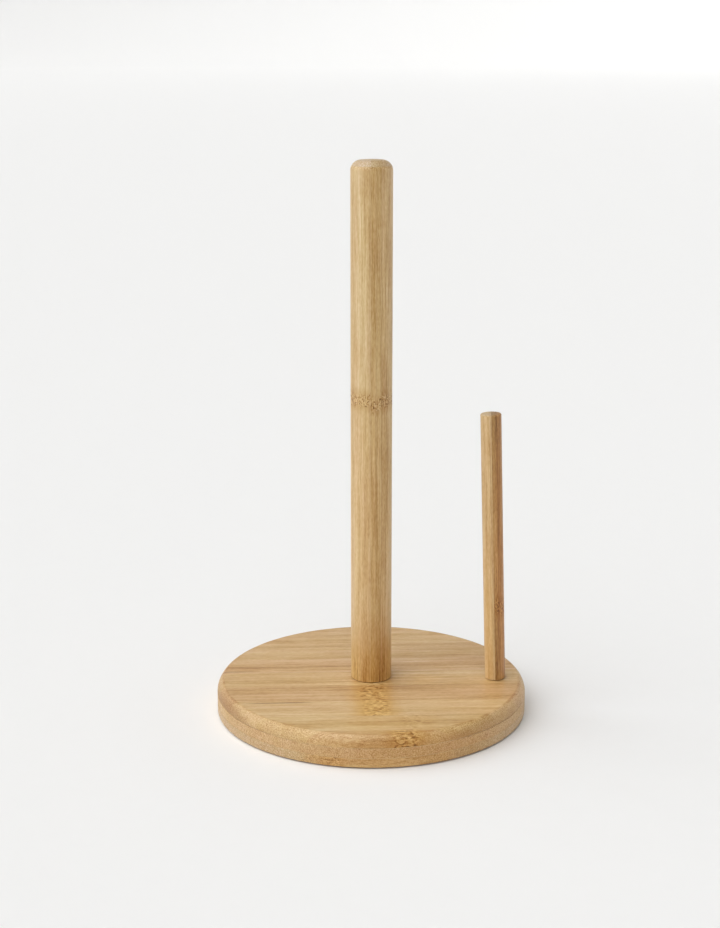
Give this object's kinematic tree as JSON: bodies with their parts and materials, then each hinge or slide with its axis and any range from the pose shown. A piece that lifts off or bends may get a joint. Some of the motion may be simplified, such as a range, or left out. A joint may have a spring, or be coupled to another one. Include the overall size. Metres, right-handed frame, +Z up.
{
  "type": "kitchen roll holder",
  "caption": "Round bamboo kitchen-roll stand: flat rimmed board, tall round-topped centre post for the roll and a thin side arm beside it.",
  "frame": {"origin": "on the table, on the axis of the centre post, midway between the four foot pads", "axes": "+Z up along the centre post, +X from the post to the side arm, +Y to the back"},
  "size_m": [0.17, 0.17, 0.3],
  "materials": {
    "bamboo_top_ply": "satin",
    "bamboo_core_ply": "satin",
    "bamboo_bottom_ply": "satin",
    "bamboo_post": "satin",
    "bamboo_arm": "satin",
    "bolt_steel": "zinc plated",
    "washer_steel": "zinc plated",
    "insert_zinc": "yellow zinc",
    "screw_zinc": "yellow zinc",
    "pad_rubber": "matte"
  },
  "bodies": {
    "root": {"base_top_ply": "bamboo_top_ply", "base_core_ply": "bamboo_core_ply", "base_bottom_ply": "bamboo_bottom_ply", "centre_post": "bamboo_post", "side_arm": "bamboo_arm", "post_bolt": "bolt_steel", "post_washer": "washer_steel", "post_insert_nut": "insert_zinc", "arm_screw": "screw_zinc", "foot_pad_1": "pad_rubber", "foot_pad_2": "pad_rubber", "foot_pad_3": "pad_rubber", "foot_pad_4": "pad_rubber"}
  },
  "joints": []
}
